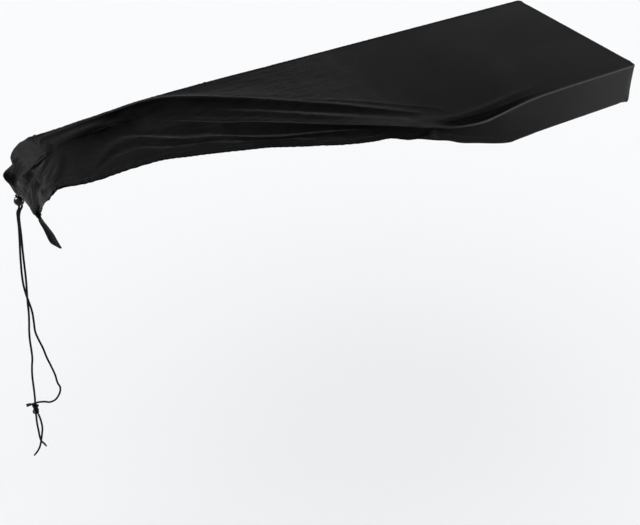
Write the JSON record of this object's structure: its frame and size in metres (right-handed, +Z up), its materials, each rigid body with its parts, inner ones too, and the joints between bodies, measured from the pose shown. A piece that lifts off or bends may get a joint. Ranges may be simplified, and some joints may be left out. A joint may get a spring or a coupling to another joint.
{
  "type": "piano cover",
  "caption": "Fitted stretch dust cover for a keyboard piano, taut at one end and pushed back in folds off the keys at the other, with a hanging drawcord and ball lock.",
  "frame": {"origin": "the point under the top where the piano's top touches the cover, at the middle of the piano's length and depth and 73.9 mm above its underside", "axes": "+X along the piano to the treble end, where the cover is taut; +Y from the keys to the back; +Z up"},
  "size_m": [1.0103, 0.2878, 0.5827],
  "materials": {
    "top_cloth": "black brushed stretch knit, soft sheen at a low angle",
    "band_cloth": "black brushed stretch knit, soft sheen at a low angle",
    "lock": "moulded black plastic, satin to glossy",
    "cord": "black braided round cord"
  },
  "bodies": {
    "root": {"top_panel": "top_cloth", "side_band": "band_cloth", "cord_lock": "lock", "cord_left": "cord", "cord_right": "cord", "cord_knot": "cord", "tail_left": "cord", "tail_right": "cord"}
  },
  "joints": []
}
